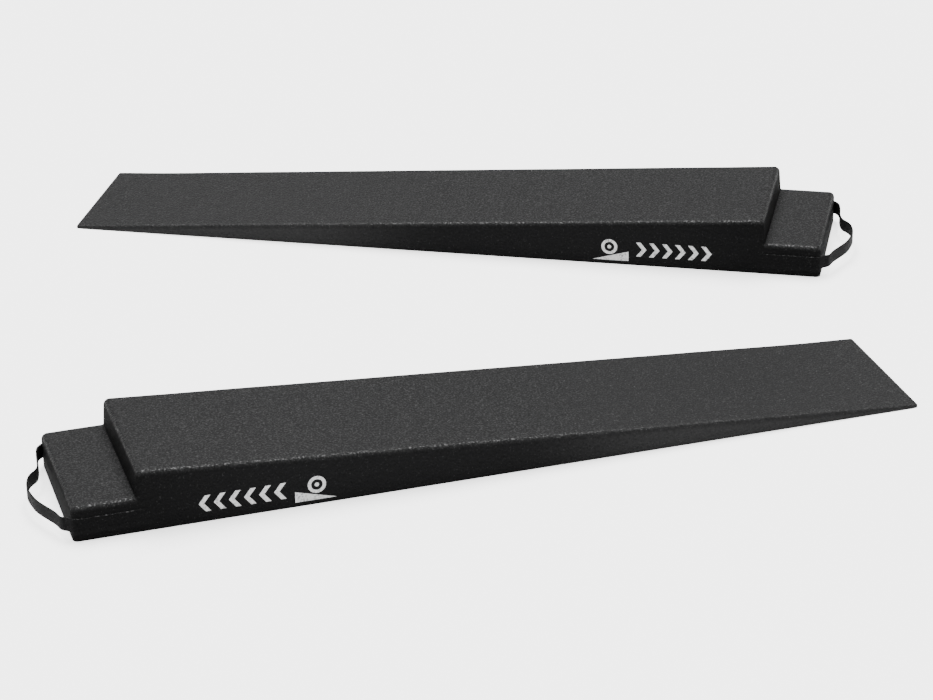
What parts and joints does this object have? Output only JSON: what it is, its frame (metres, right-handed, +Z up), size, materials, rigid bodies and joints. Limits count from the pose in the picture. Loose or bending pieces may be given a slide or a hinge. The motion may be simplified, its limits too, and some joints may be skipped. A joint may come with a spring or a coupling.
{
  "type": "trailer ramp set",
  "caption": "Matched low foam-cored wedge ramps with a step for the trailer flap at the tall end, a textured sprayed coat and a webbing carry handle.",
  "frame": {"origin": "middle of the floor rectangle that the pair covers, on the ground", "axes": "+Z up, +X across the front from one tall end to the other, +Y from the front ramp to the back ramp"},
  "size_m": [1.8724, 1.9364, 0.1326],
  "materials": {
    "coat": "matte",
    "foam": "matte",
    "webbing": "matte",
    "stiff_webbing": "matte",
    "print": "matte"
  },
  "bodies": {
    "ramp_a": {"foam_core_a": "foam", "top_coat_a": "coat", "base_coat_a": "coat", "strap_tail_far_a": "webbing", "strap_tail_near_a": "webbing", "strap_bend_far_a": "stiff_webbing", "strap_bend_near_a": "stiff_webbing", "side_mark_far_a": "print", "side_mark_near_a": "print"},
    "handle_a": {"handle_loop_a": "webbing"},
    "ramp_b": {"foam_core_b": "foam", "top_coat_b": "coat", "base_coat_b": "coat", "strap_tail_far_b": "webbing", "strap_tail_near_b": "webbing", "strap_bend_far_b": "stiff_webbing", "strap_bend_near_b": "stiff_webbing", "side_mark_far_b": "print", "side_mark_near_b": "print"},
    "handle_b": {"handle_loop_b": "webbing"}
  },
  "joints": [
    {"name": "ramp_spacing", "type": "slide", "parent": "ramp_a", "child": "ramp_b", "axis": [0, -1, 0], "range_m": [-0.25, 0.5]},
    {"name": "handle_swing_a", "type": "hinge", "parent": "ramp_a", "child": "handle_a", "pos_m": [0.89233, 0.34216, 0.0345], "axis": [-0.247, -0.969, 0], "range_deg": [-18, 75], "deforming": ["strap_bend_far_a", "strap_bend_near_a"]},
    {"name": "handle_swing_b", "type": "hinge", "parent": "ramp_b", "child": "handle_b", "pos_m": [-0.89233, -0.80084, 0.0345], "axis": [-0.247, 0.969, 0], "range_deg": [-18, 75], "deforming": ["strap_bend_far_b", "strap_bend_near_b"]}
  ]
}
